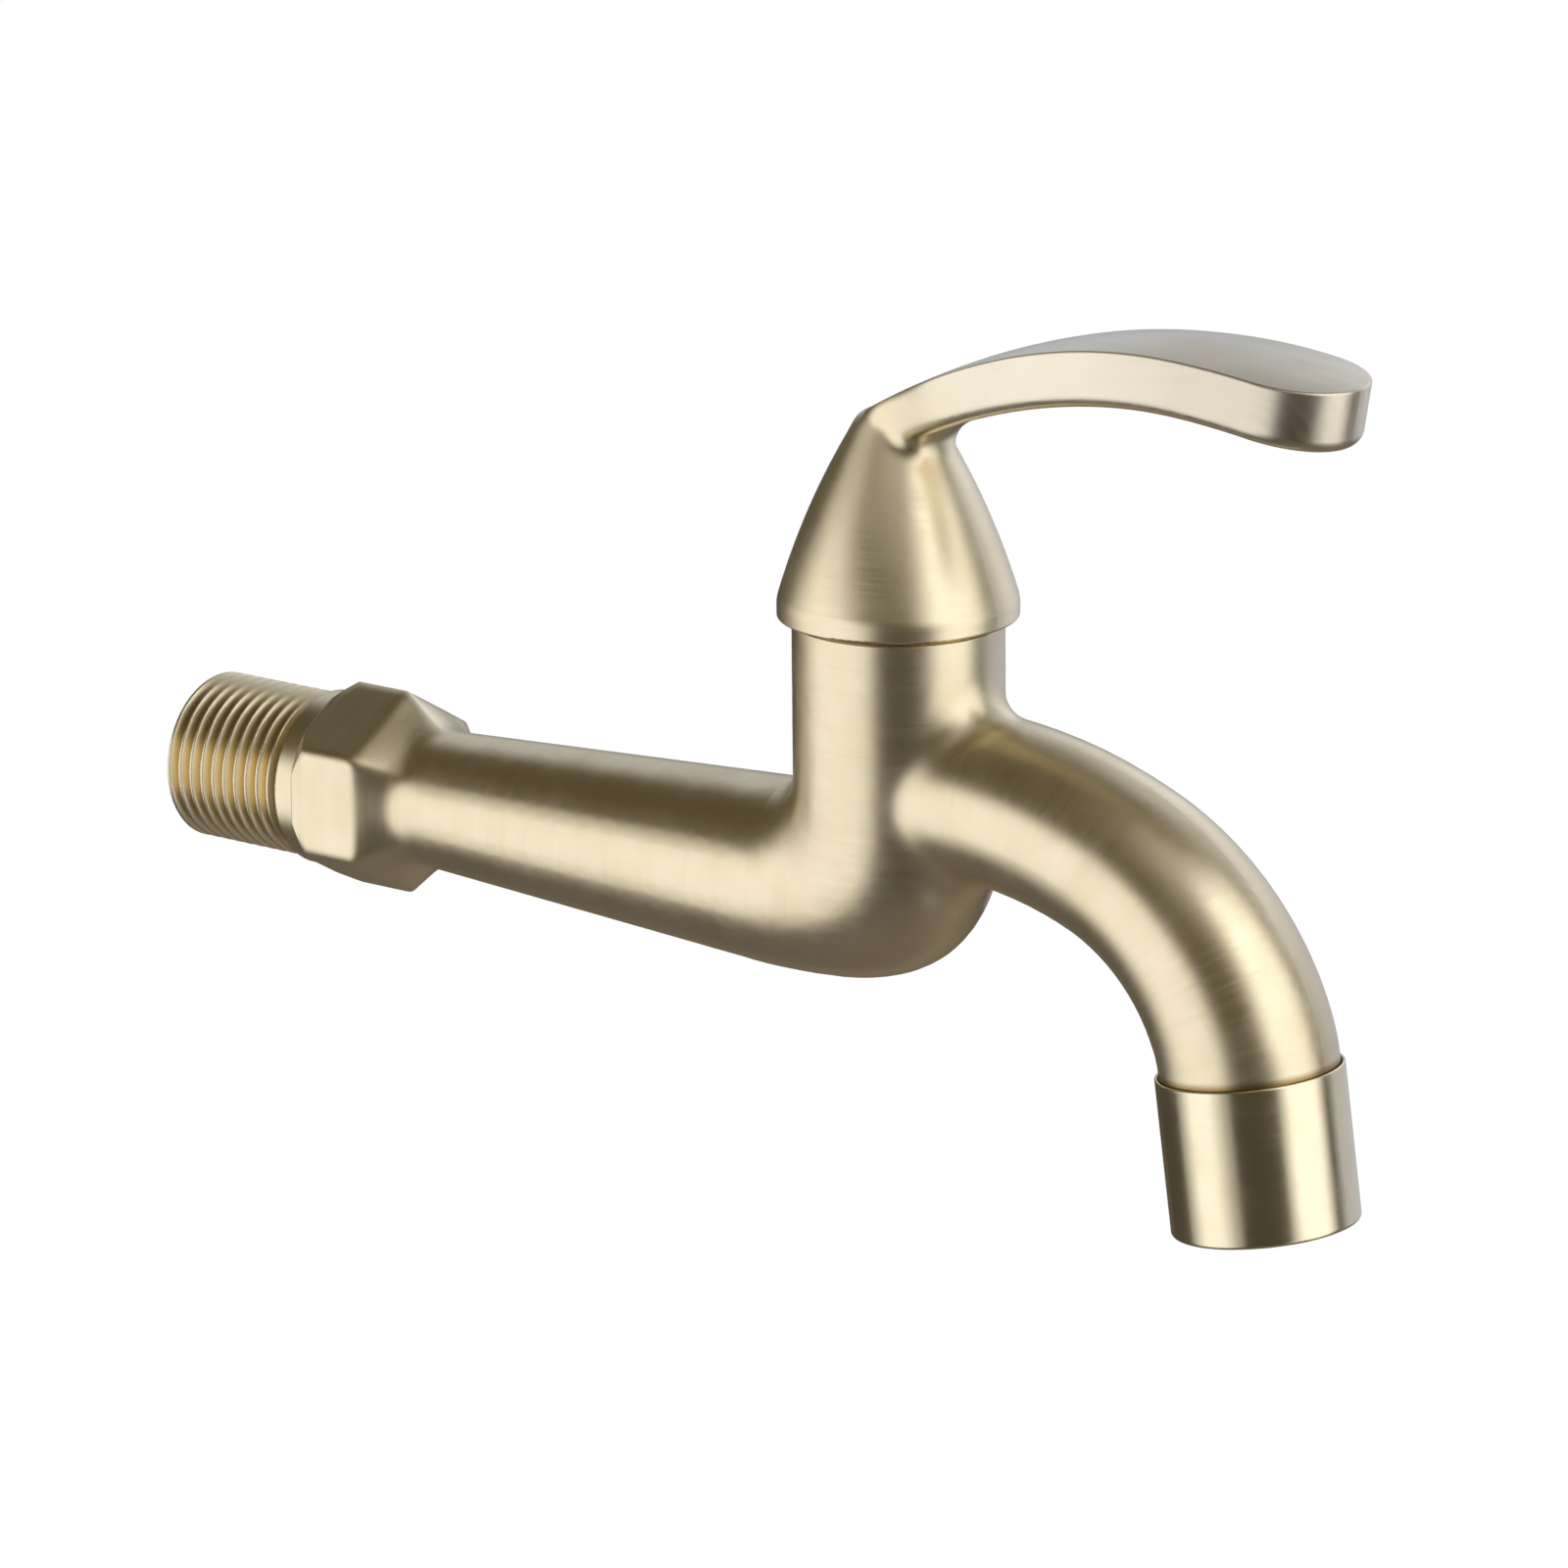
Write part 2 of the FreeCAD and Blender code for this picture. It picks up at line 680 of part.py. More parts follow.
def lever_plan_prism():
    """The lever's outline seen from above, drawn upwards."""
    tip_start = lever_length - lever_tip_length
    start, root_width = lever_widths[0]
    root = root_width / 2
    sides = []
    for hand in (1, -1):
        points = [V(reach, hand * width / 2, 0) for reach, width in lever_widths]
        points.append(V(tip_start, hand * lever_tip_width / 2, 0))
        curve = Part.BSplineCurve()
        curve.interpolate(Points=points, InitialTangent=V(1, 0, 0), FinalTangent=V(1, 0, 0))
        sides.append(curve.toShape())
    tip = V(tip_start, 0, 0)
    edges = [
        Part.Arc(V(start, root, 0), V(start - root, 0, 0), V(start, -root, 0)).toShape(),
        quarter_ellipse(tip, V(lever_tip_length, 0, 0), V(0, lever_tip_width / 2, 0)),
        quarter_ellipse(tip, V(lever_tip_length, 0, 0), V(0, -lever_tip_width / 2, 0)),
    ]
    face = Part.Face(Part.Wire(Part.__sortEdges__(edges + sides)))
    lean = math.tan(math.radians(lever_nose_lean))
    height = 2 * barrel_top
    face.translate(V(-lean * (lever_zero + lever_line[-1][1]), 0, 0))
    return face.extrude(V(lean * height * 2, 0, height * 2))


def lever_side_face(line, far_height):
    """The area in the plane y = 0 between a smooth line and a height."""
    first = V(line[0].x, 0, far_height)
    last = V(line[-1].x, 0, far_height)
    curve = Part.BSplineCurve()
    curve.interpolate(line)
    edges = [curve.toShape()]
    for start, end in ((line[-1], last), (last, first), (first, line[0])):
        edges.append(Part.LineSegment(start, end).toShape())
    return Part.Face(Part.Wire(edges))


def lever():
    """The lever: its outline from above, a crowned top and a level underside that follows the top."""
    plan = lever_plan_prism()
    top = [V(reach, 0, lever_zero + height) for reach, height, thick in lever_line]
    low = [V(reach, 0, lever_zero + height - lever_crown - thick) for reach, height, thick in lever_line]
    crest = max(point.z for point in top)
    half_width = lever_tip_width / 2
    crown_radius = half_width ** 2 / (2 * lever_crown)
    crown_angle = math.degrees(math.asin(1.5 * half_width / crown_radius))
    below = lever_side_face(top, lever_zero)
    hinge = V(0, 0, crest - crown_radius)
    below.rotate(hinge, V(1, 0, 0), -crown_angle)
    below = below.revolve(hinge, V(1, 0, 0), 2 * crown_angle)
    above = lever_side_face(low, 2 * crest)
    above = above.translated(V(0, -lever_tip_width, 0)).extrude(V(0, 2 * lever_tip_width, 0))
    blade = plan.common(below).common(above)
    low_edges = junction_edges(blade, above, plan)
    blade = blade.makeFillet(lever_low_edge_radius, low_edges)
    return blade.makeFillet(lever_top_edge_radius, junction_edges(blade, below, plan))


def handle():
    """The bell and its lever in one piece, hollowed for the headwork and bored for the splines."""
    bell = handle_bell()
    blade = lever()
    whole = bell.fuse(blade)
    whole = whole.makeFillet(lever_root_fillet, junction_edges(whole, bell, blade))
    waist = bell_waist_diameter / 2 - bell_wall
    cavity = turned([
        (0, bell_foot - 1),
        (bell_mouth_diameter / 2, bell_foot - 1),
        (bell_mouth_diameter / 2, bell_foot + bell_band_height),
        (waist, bell_cavity_top),
        (0, bell_cavity_top),
    ])
    splines = splined(spline_diameter + 2 * running_clearance, bell_cavity_top - 1, spline_top + 0.3)
    screw_hole = rod(grub_diameter + 2 * thread_clearance, 0, bell_foot_diameter)
    screw_hole = place(screw_hole, (0, 0, grub_axis), (-1, 0, 0))
    return on_barrel(whole.cut([cavity, splines, screw_hole]))


def grub_screw():
    """The socket set screw at the back of the bell, which bears on the splines."""
    screw = rod(grub_diameter, 0, grub_length)
    socket = hexagon(grub_socket_flats, grub_length - grub_socket_depth, grub_length + 1)
    start = spline_diameter / 2 + 0.02
    return on_barrel(place(screw.cut(socket), (-start, 0, grub_axis), (-1, 0, 0)))


def aerator_shell():
    """The outer sleeve that screws onto the mouth and carries the insert on its inner foot."""
    lip = spout_diameter / 2 + aerator_lip_gap
    crest = mouth_thread_diameter / 2 + thread_clearance
    outer = aerator_diameter / 2
    return on_mouth(turned([
        (lip, 0),
        (lip, aerator_lip_depth),
        (crest, aerator_lip_depth),
        (crest, spout_end + gasket_thickness / 2),
        (aerator_bore / 2, spout_end + gasket_thickness / 2),
        (aerator_bore / 2, aerator_shoulder),
        (aerator_outlet_diameter / 2, aerator_shoulder),
        (aerator_outlet_diameter / 2, aerator_length),
        (outer, aerator_length, aerator_edge_round),
        (outer, 0, 0.15),
    ]))


def aerator_gasket():
    return on_mouth(tube(aerator_bore - 2 * slip_clearance, gasket_hole, gasket_base,
                         gasket_base + gasket_thickness))


def aerator_housing():
    """The plastic jet housing: flange, inner ledges for the discs, and a row of air slots."""
    outer = housing_diameter / 2
    flange = aerator_bore / 2 - slip_clearance
    bore = insert_diameter / 2 + slip_clearance
    points = [
        (bore, housing_top),
        (flange, housing_top),
        (flange, housing_top + housing_flange_height),
        (outer, housing_top + housing_flange_height),
        (outer, housing_foot),
        (bore - housing_ledge, housing_foot),
        (bore - housing_ledge, housing_foot - housing_ledge_height),
        (bore, housing_foot - housing_ledge_height),
        (bore, ledge_top + housing_ledge_height),
        (bore - housing_ledge, ledge_top + housing_ledge_height),
        (bore - housing_ledge, ledge_top),
        (bore, ledge_top),
    ]
    slot_base = ledge_top + housing_ledge_height + 0.2
    slots = []
    for i in range(air_slot_count):
        slot = block(3 * outer, air_slot_width, slot_base, slot_base + air_slot_height)
        slot = slot.common(sector(0, 4 * outer, 0, 90, slot_base - 1, slot_base + air_slot_height + 1))
        slot.rotate(V(0, 0, 0), V(0, 0, 1), 360 * i / air_slot_count)
        slots.append(slot)
    return on_mouth(turned(points).cut(slots))


def holes_on_circle(count, circle, diameter, base, top):
    """Rods evenly spaced on a circle about Z."""
    rods = []
    for i in range(count):
        angle = 2 * math.pi * i / count
        spot = V(circle / 2 * math.cos(angle), circle / 2 * math.sin(angle), 0)
        rods.append(rod(diameter, base, top).translated(spot))
    return rods


def aerator_flow_disc():
    """The drilled plate that splits the flow into jets."""
    plate = rod(insert_diameter, flow_disc_top, flow_disc_top + flow_disc_thickness)
    holes = []
    for count, share in ((14, 0.78), (8, 0.45)):
        holes += holes_on_circle(count, insert_diameter * share, flow_hole_diameter,
                                 flow_disc_top - 1, flow_disc_top + flow_disc_thickness + 1)
    return on_mouth(plate.cut(holes))


def aerator_strainer():
    """The domed strainer that stands up through the gasket and keeps grit off the flow disc."""
    rim = insert_diameter / 2
    dome = strainer_dome / 2
    top = strainer_base - strainer_rise
    cap = turned([
        (0, top),
        (dome, top, strainer_rise * 0.6),
        (dome, strainer_base - strainer_wall),
        (rim, strainer_base - strainer_wall),
        (rim, strainer_base),
        (dome - strainer_wall, strainer_base),
        (dome - strainer_wall, top + strainer_wall),
        (0, top + strainer_wall),
    ])
    holes = []
    for count, share in ((12, 0.70), (6, 0.36), (1, 0.0)):
        holes += holes_on_circle(count, strainer_dome * share, strainer_hole, top - 1, strainer_base)
    return on_mouth(cap.cut(holes))


def wire_screen(top):
    """A disc of square mesh with a plain rim."""
    pitch = screen_hole + screen_web
    limit = insert_diameter / 2 - 0.6
    reach = int(limit / pitch) + 1
    holes = []
    for i in range(-reach, reach + 1):
        for j in range(-reach, reach + 1):
            x = i * pitch
            y = j * pitch
            corner = math.hypot(abs(x) + screen_hole / 2, abs(y) + screen_hole / 2)
            if corner < limit:
                hole = Part.makeBox(screen_hole, screen_hole, 3 * screen_thickness,
                                    V(x - screen_hole / 2, y - screen_hole / 2, top - screen_thickness))
                holes.append(hole)
    return on_mouth(rod(insert_diameter, top, top + screen_thickness).cut(holes))


def aerator_outlet_grid():
    """The honeycomb at the outlet, held by its flange above the housing's lower ledge."""
    body = insert_diameter - 2 * housing_ledge - 2 * slip_clearance
    top = grid_top
    grid = rod(insert_diameter, top, top + grid_flange_height)
    grid = grid.fuse(rod(body, top, top + grid_height))
    pitch = grid_cell + grid_web
    limit = body / 2 - 0.3
    cells = []
    for row in range(-4, 5):
        for column in range(-4, 5):
            x = (column + row / 2) * pitch
            y = row * pitch * math.sqrt(3) / 2
            if math.hypot(x, y) + grid_cell / math.sqrt(3) < limit:
                cell = hexagon(grid_cell, top - 1, top + grid_height + 1)
                cell.rotate(V(0, 0, 0), V(0, 0, 1), 30)
                cells.append(cell.translated(V(x, y, 0)))
    return on_mouth(grid.cut(cells))


nodes = {
    "tap_body": tap_body(),
    "valve_bonnet": valve_bonnet(),
    "valve_spindle": valve_spindle(),
    "lower_spindle_o_ring": o_ring_on_spindle(o_ring_heights()[0]),
    "upper_spindle_o_ring": o_ring_on_spindle(o_ring_heights()[1]),
    "spindle_thrust_washer": thrust_washer(),
    "spindle_retaining_clip": retaining_clip(),
    "lower_ceramic_disc": lower_ceramic_disc(),
    "upper_ceramic_disc": upper_ceramic_disc(),
    "seat_seal": seat_seal(),
    "bonnet_o_ring": bonnet_o_ring(),
    "handle": handle(),
    "handle_grub_screw": grub_screw(),
    "aerator_shell": aerator_shell(),
    "aerator_gasket": aerator_gasket(),
    "aerator_housing": aerator_housing(),
    "aerator_strainer": aerator_strainer(),
    "aerator_flow_disc": aerator_flow_disc(),
    "aerator_inner_screen": wire_screen(inner_screen_top),
    "aerator_outer_screen": wire_screen(outer_screen_top),
    "aerator_outlet_grid": aerator_outlet_grid(),
}

os.makedirs("parts", exist_ok=True)
for name, shape in nodes.items():
    shape.exportStep("parts/" + name + ".step")
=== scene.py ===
import math

import bpy
from mathutils import Matrix, Vector

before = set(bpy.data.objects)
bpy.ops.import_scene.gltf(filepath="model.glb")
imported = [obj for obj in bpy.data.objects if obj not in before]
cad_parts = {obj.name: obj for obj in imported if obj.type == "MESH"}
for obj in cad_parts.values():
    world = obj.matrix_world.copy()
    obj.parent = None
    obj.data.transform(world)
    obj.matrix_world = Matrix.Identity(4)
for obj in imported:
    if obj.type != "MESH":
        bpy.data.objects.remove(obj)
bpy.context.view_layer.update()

# Lights, camera and bevel widths are in metres. The finishes read places on the tap in millimetres.
MM = 1000.0

# Along X: from the front of the hexagon to the end of the shoulder behind it.
HEXAGON_START_MM = 4.0
SHOULDER_END_MM = 22.0

# How far along X the barrel's axis stands, and how wide the barrel is.
BARREL_REACH_MM = 88.6
BARREL_RADIUS_MM = 12.6

# How high the spout leaves the barrel, how wide it is there, and the middle of its bend.
SPOUT_HEIGHT_MM = 13.9
SPOUT_RADIUS_MM = 10.15
SPOUT_TURN_X_MM = 103.5
SPOUT_TURN_Z_MM = -22.0

# The spout's mouth, under the collar's upper edge, and the way that it points.
MOUTH_POINT_MM = (138.787, 0.0, -12.387)
MOUTH_DOWN = (0.1339862, 0.0, -0.9909832)

# Where the lever leaves the bell, and the fall per mm along X of the line that parts the two.
LEVER_ROOT_MM = (93.0, 0.0, 58.0)
LEVER_LINE_FALL = 0.45

# How wide the edges and corners are rubbed, in metres.
PLATED_EDGE = 0.0003
TURNED_EDGE = 0.0002
SPOUT_CORNER = 0.0026
HEXAGON_CORNER = 0.0021
LEVER_CORNER = 0.0018

# A bump of height 1 stands this high, in metres. The screens' wires are shallower, with a step in mm.
BUMP_DEPTH = 0.001
WIRE_DEPTH = 0.00008
WIRE_STEP_MM = 0.45


# Shader helpers

class Shader:
    """A node tree being wired, with short calls for the nodes that the finishes use."""

    def __init__(self, tree):
        self.tree = tree
        self.column = 0

    def add(self, kind, **settings):
        made = self.tree.nodes.new(kind)
        for name, value in settings.items():
            setattr(made, name, value)
        made.location = (self.column % 12 * 190 - 1400, 500 - self.column // 12 * 260)
        self.column += 1
        return made

    def feed(self, socket, value):
        """Links an output to a socket, or sets the socket to a plain value."""
        if isinstance(value, bpy.types.NodeSocket):
            self.tree.links.new(value, socket)
        elif value is not None:
            socket.default_value = value

    def math(self, operation, a, b=None, c=None, clamp=False):
        made = self.add("ShaderNodeMath", operation=operation, use_clamp=clamp)
        for socket, value in zip(made.inputs, (a, b, c)):
            self.feed(socket, value)
        return made.outputs[0]

    def vector(self, operation, a, b=None, scale=None):
        made = self.add("ShaderNodeVectorMath", operation=operation)
        self.feed(made.inputs[0], a)
        self.feed(made.inputs[1], b)
        if scale is not None:
            self.feed(made.inputs["Scale"], scale)
        gives_number = operation in ("DOT_PRODUCT", "LENGTH", "DISTANCE")
        return made.outputs["Value" if gives_number else "Vector"]

    def split(self, vector):
        made = self.add("ShaderNodeSeparateXYZ")
        self.feed(made.inputs[0], vector)
        return made.outputs[0], made.outputs[1], made.outputs[2]

    def join(self, x, y, z):
        made = self.add("ShaderNodeCombineXYZ")
        for socket, value in zip(made.inputs, (x, y, z)):
            self.feed(socket, value)
        return made.outputs[0]

    def ramp(self, value, low, high, bottom=0.0, top=1.0):
        """A smooth step from bottom to top while value runs from low to high."""
        made = self.add("ShaderNodeMapRange", interpolation_type="SMOOTHSTEP")
        for name, given in (("Value", value), ("From Min", low), ("From Max", high),
                            ("To Min", bottom), ("To Max", top)):
            self.feed(made.inputs[name], given)
        return made.outputs["Result"]

    def blend(self, share, a, b):
        made = self.add("ShaderNodeMix", data_type="FLOAT", clamp_factor=True)
        self.feed(made.inputs[0], share)
        self.feed(made.inputs[2], a)
        self.feed(made.inputs[3], b)
        return made.outputs[0]

    def tint(self, share, a, b, mode="MIX"):
        made = self.add("ShaderNodeMix", data_type="RGBA", blend_type=mode, clamp_factor=True)
        self.feed(made.inputs[0], share)
        self.feed(made.inputs[6], a)
        self.feed(made.inputs[7], b)
        return made.outputs[2]

    def noise(self, vector, scale, detail=2.0, roughness=0.5):
        made = self.add("ShaderNodeTexNoise")
        self.feed(made.inputs["Vector"], vector)
        self.feed(made.inputs["Scale"], scale)
        self.feed(made.inputs["Detail"], detail)
        self.feed(made.inputs["Roughness"], roughness)
        return made.outputs["Fac"]

    def bump(self, height, depth, normal=None):
        made = self.add("ShaderNodeBump")
        self.feed(made.inputs["Height"], height)
        self.feed(made.inputs["Strength"], 1.0)
        self.feed(made.inputs["Distance"], depth)
        self.feed(made.inputs["Normal"], normal)
        return made.outputs["Normal"]

    def group(self, group, **values):
        """Places a shared effect. Underscores in the value names stand for spaces."""
        made = self.add("ShaderNodeGroup", node_tree=group)
        for name, value in values.items():
            self.feed(made.inputs[name.replace("_", " ")], value)
        return made.outputs


def effect(name, inputs, outputs):
    """An empty shader node group with named sockets."""
    group = bpy.data.node_groups.new(name, "ShaderNodeTree")
    for label, kind, value in inputs:
        socket = group.interface.new_socket(name=label, in_out="INPUT", socket_type="NodeSocket" + kind)
        if value is not None:
            socket.default_value = value
    for label, kind in outputs:
        group.interface.new_socket(name=label, in_out="OUTPUT", socket_type="NodeSocket" + kind)
    shader = Shader(group)
    return group, shader, shader.add("NodeGroupInput").outputs, shader.add("NodeGroupOutput").inputs


# Shared effects

def brushing_effect():
    """Fine lines of an abrasive belt: Across runs over the lines, Along follows them, both in mm."""
    group, s, given, out = effect(
        "belt brushing",
        [("Across", "Float", 0.0), ("Along", "Vector", None), ("Line Width", "Float", 0.12),
         ("Line Length", "Float", 14.0)],
        [("Height", "Float"), ("Streak", "Float")])
    x, y, z = s.split(given["Along"])
    slow = s.math("DIVIDE", 1.0, given["Line Length"])
    fast = s.math("DIVIDE", 1.0, given["Line Width"])

    def lines(width_share, length_share, shift, detail):
        spot = s.join(
            s.math("MULTIPLY_ADD", given["Across"], s.math("MULTIPLY", fast, width_share), shift),
            s.math("MULTIPLY_ADD", x, s.math("MULTIPLY", slow, length_share), shift),
            s.math("ADD", s.math("MULTIPLY", y, s.math("MULTIPLY", slow, length_share)),
                   s.math("MULTIPLY", z, s.math("MULTIPLY", slow, length_share))))
        return s.noise(spot, 1.0, detail, 0.6)

    fine = lines(1.0, 1.0, 0.0, 3.0)
    broad = lines(0.22, 0.6, 41.0, 2.0)
    s.feed(out["Height"], s.blend(0.35, fine, broad))
    s.feed(out["Streak"], s.ramp(s.blend(0.55, fine, broad), 0.32, 0.68))
    return group


def edge_effect():
    """Rounds the shading at sharp edges, and marks those edges, where hands and cloths polish them."""
    group, s, given, out = effect(
        "handled edges",
        [("Radius", "Float", PLATED_EDGE)],
        [("Edge", "Float"), ("Rounded Normal", "Vector")])
    rounded = s.add("ShaderNodeBevel", samples=6)
    s.feed(rounded.inputs["Radius"], given["Radius"])
    plain = s.add("ShaderNodeNewGeometry").outputs["Normal"]
    turned = s.math("SUBTRACT", 1.0, s.vector("DOT_PRODUCT", rounded.outputs[0], plain))
    s.feed(out["Edge"], s.math("MULTIPLY", turned, 5.0, clamp=True))
    s.feed(out["Rounded Normal"], rounded.outputs[0])
    return group


def grain_effect():
    """The skin under the brushing: a fine blasted grain with a slow unevenness of the casting."""
    group, s, given, out = effect(
        "cast grain",
        [("Vector", "Vector", None), ("Grain Size", "Float", 0.16), ("Wave Size", "Float", 5.0)],
        [("Grain", "Float"), ("Wave", "Float")])
    s.feed(out["Grain"], s.noise(given["Vector"], s.math("DIVIDE", 1.0, given["Grain Size"]), 3.0, 0.6))
    s.feed(out["Wave"], s.noise(given["Vector"], s.math("DIVIDE", 1.0, given["Wave Size"]), 2.0, 0.4))
    return group


def handling_effect():
    """Faint smears of polish and short hairline scratches."""
    group, s, given, out = effect(
        "handling marks",
        [("Vector", "Vector", None)],
        [("Smear", "Float"), ("Scratch", "Float")])
    cloud = s.noise(given["Vector"], 0.11, 4.0, 0.62)
    s.feed(out["Smear"], s.ramp(cloud, 0.42, 0.66))
    scratches = []
    for turn, shift in (((0.4, 0.9, 0.2), 3.0), ((-0.7, 0.3, 0.8), 17.0)):
        axis = Vector(turn).normalized()
        side = axis.cross(Vector((0.2, 0.1, 1.0))).normalized()
        spot = s.join(
            s.math("MULTIPLY_ADD", s.vector("DOT_PRODUCT", given["Vector"], axis), 5.5, shift),
            s.math("MULTIPLY", s.vector("DOT_PRODUCT", given["Vector"], side), 0.16),
            shift)
        scratches.append(s.ramp(s.noise(spot, 1.0, 1.0, 0.4), 0.755, 0.80))
    s.feed(out["Scratch"], s.math("MAXIMUM", *scratches))
    return group


SATIN_GOLD = (0.80, 0.705, 0.50)
POLISHED_GOLD = (0.86, 0.77, 0.55)
# Painted reflection: the lever's paler, cooler tone stands in for cooler light on it.
LEVER_PAINTED_COOL_REFLECTION = (0.80, 0.725, 0.57, 1.0)
# Painted shade: the lever's darker tone toward its tip.
LEVER_TIP_PAINTED_SHADE = (0.67, 0.605, 0.475, 1.0)
# Painted shade: the darker, browner gold between the thread's crests.
THREAD_ROOT_PAINTED_SHADE = (0.62, 0.47, 0.18, 1.0)
# Painted shadow: the dark band on the spout just over the aerator's collar.
COLLAR_SEAM_PAINTED_SHADE = (0.36, 0.24, 0.09, 1.0)

BRUSHING = brushing_effect()
EDGES = edge_effect()
GRAIN = grain_effect()
HANDLING = handling_effect()


# Finishes

def new_finish(name):
    """A material with its Principled shader, its wiring helper and the piece's own place in mm."""
    material = bpy.data.materials.new(name)
    material.use_nodes = True
    material.node_tree.nodes.clear()
    s = Shader(material.node_tree)
    skin = s.add("ShaderNodeBsdfPrincipled")
    end = s.add("ShaderNodeOutputMaterial")
    s.feed(end.inputs["Surface"], skin.outputs[0])
    place = s.vector("SCALE", s.add("ShaderNodeTexCoord").outputs["Object"], scale=MM)
    return material, s, skin, place


def scaled(colour, *factors, lift=0.0):
    """The colour with each channel multiplied, then lifted and kept within 1, with its alpha."""
    return (*(min(part * factor + lift, 1.0) for part, factor in zip(colour, factors)), 1.0)


def plated_gold(name, colour, roughness, brushing, line_height, grain_height, paint_light_and_shade=None, soft_corner=None):
    """Champagne gold plating.

    brushing(s, place) gives where the lines run, how strongly they show, their width and their length.
    paint_light_and_shade(s, place, tone) paints shade and reflected light into the plating's colour in
    places.
    soft_corner(s, place) gives where the casting's corners are rubbed wide, and how wide in metres.
    """
    material, s, skin, place = new_finish(name)
    across, strength, width, length = brushing(s, place)
    lines = s.group(BRUSHING, Across=across, Along=place, Line_Width=width, Line_Length=length)
    skin_grain = s.group(GRAIN, Vector=place)
    marks = s.group(HANDLING, Vector=place)
    edge = s.group(EDGES, Radius=PLATED_EDGE)

    # Colour: the plating is a little deeper in its slow waves and paler along polished edges.
    deep = scaled(colour, 0.93, 0.90, 0.84)
    pale = scaled(colour, 1.05, 1.07, 1.12)
    tone = s.tint(s.ramp(skin_grain["Wave"], 0.3, 0.75, 0.0, 0.55), (*colour, 1.0), deep)
    tone = s.tint(s.math("MULTIPLY", lines["Streak"], s.math("MULTIPLY", strength, 0.18)), tone, deep)
    tone = s.tint(s.math("MULTIPLY", edge["Edge"], 0.6), tone, pale)
    # Painted shade and painted reflection go into the colour here, from the finish's own function.
    if paint_light_and_shade is not None:
        tone = paint_light_and_shade(s, place, tone)
    s.feed(skin.inputs["Base Color"], tone)
    s.feed(skin.inputs["Metallic"], 1.0)

    # Gloss: the brushed streaks and smears are duller, and the polished edges shine.
    gloss = s.math("MULTIPLY_ADD", lines["Streak"], s.math("MULTIPLY", strength, 0.07), roughness - 0.03)
    gloss = s.math("MULTIPLY_ADD", skin_grain["Wave"], 0.05, gloss)
    gloss = s.math("MULTIPLY_ADD", marks["Smear"], 0.035, gloss)
    gloss = s.math("MULTIPLY_ADD", edge["Edge"], -0.07, gloss, clamp=True)
    s.feed(skin.inputs["Roughness"], gloss)

    # Relief: the brushed lines, the blasted grain and a few scratches, over the rounded corners.
    height = s.math("MULTIPLY", lines["Height"], s.math("MULTIPLY", strength, line_height))
    height = s.math("MULTIPLY_ADD", skin_grain["Grain"], grain_height, height)
    height = s.math("MULTIPLY_ADD", marks["Scratch"], -0.0004, height)
    facing = edge["Rounded Normal"]
    if soft_corner is not None:
        share, radius = soft_corner(s, place)
        wide = s.add("ShaderNodeBevel", samples=12)
        s.feed(wide.inputs["Radius"], radius)
        facing = s.vector("ADD", s.vector("SCALE", facing, scale=s.math("SUBTRACT", 1.0, share)),
                          s.vector("SCALE", wide.outputs[0], scale=share))
        facing = s.vector("NORMALIZE", facing)
    s.feed(skin.inputs["Normal"], s.bump(height, BUMP_DEPTH, facing))
    return material


def body_brushing(s, place):
    """Lines run round the arm, round the barrel and round the spout, and fade out on the thread."""
    x, y, z = s.split(place)
    from_axis = s.math("SUBTRACT", x, BARREL_REACH_MM)
    radial = s.vector("LENGTH", s.join(from_axis, y, 0.0))
    on_barrel = s.ramp(radial, BARREL_RADIUS_MM + 1.2, BARREL_RADIUS_MM + 0.1)
    on_spout = s.math("MULTIPLY", s.ramp(x, BARREL_REACH_MM + 8, BARREL_REACH_MM + 14),
                      s.math("SUBTRACT", 1.0, on_barrel))
    bend = s.math("MULTIPLY", 40.0, s.math("ARCTAN2", s.math("SUBTRACT", z, SPOUT_TURN_Z_MM),
                                           s.math("SUBTRACT", x, SPOUT_TURN_X_MM)))
    across = s.blend(on_spout, s.blend(on_barrel, x, z), bend)
    past_collar = s.ramp(x, 0.5, HEXAGON_START_MM)
    strength = s.math("MULTIPLY", past_collar, s.ramp(s.noise(place, 0.08), 0.3, 0.7, 0.6, 1.0))
    return across, strength, 0.11, 16.0


def rubbed_corners(s, place):
    """The corner of barrel and spout, known by how near both are, and the hexagon with its shoulder."""
    x, y, z = s.split(place)
    from_axis = s.math("SUBTRACT", x, BARREL_REACH_MM)
    to_barrel = s.math("SUBTRACT", s.vector("LENGTH", s.join(from_axis, y, 0.0)), BARREL_RADIUS_MM)
    above = s.math("SUBTRACT", z, SPOUT_HEIGHT_MM)
    to_spout = s.math("SUBTRACT", s.vector("LENGTH", s.join(above, y, 0.0)), SPOUT_RADIUS_MM)
    away = s.math("ADD", s.math("ABSOLUTE", to_barrel), s.math("ABSOLUTE", to_spout))
    at_spout = s.math("MULTIPLY", s.ramp(away, 7.5, 3.0), s.ramp(from_axis, 0.0, 3.0))
    at_hexagon = s.math("MULTIPLY", s.ramp(x, HEXAGON_START_MM - 0.6, HEXAGON_START_MM + 0.6),
                        s.ramp(x, SHOULDER_END_MM + 2.0, SHOULDER_END_MM - 2.0))
    return s.math("MAXIMUM", at_spout, at_hexagon), s.blend(at_hexagon, SPOUT_CORNER, HEXAGON_CORNER)


def past_bell(s, x, z):
    """How high a place is once the fall of the parting line is added: over 100 mm it is on the lever."""
    return s.math("MULTIPLY_ADD", x, LEVER_LINE_FALL, z)


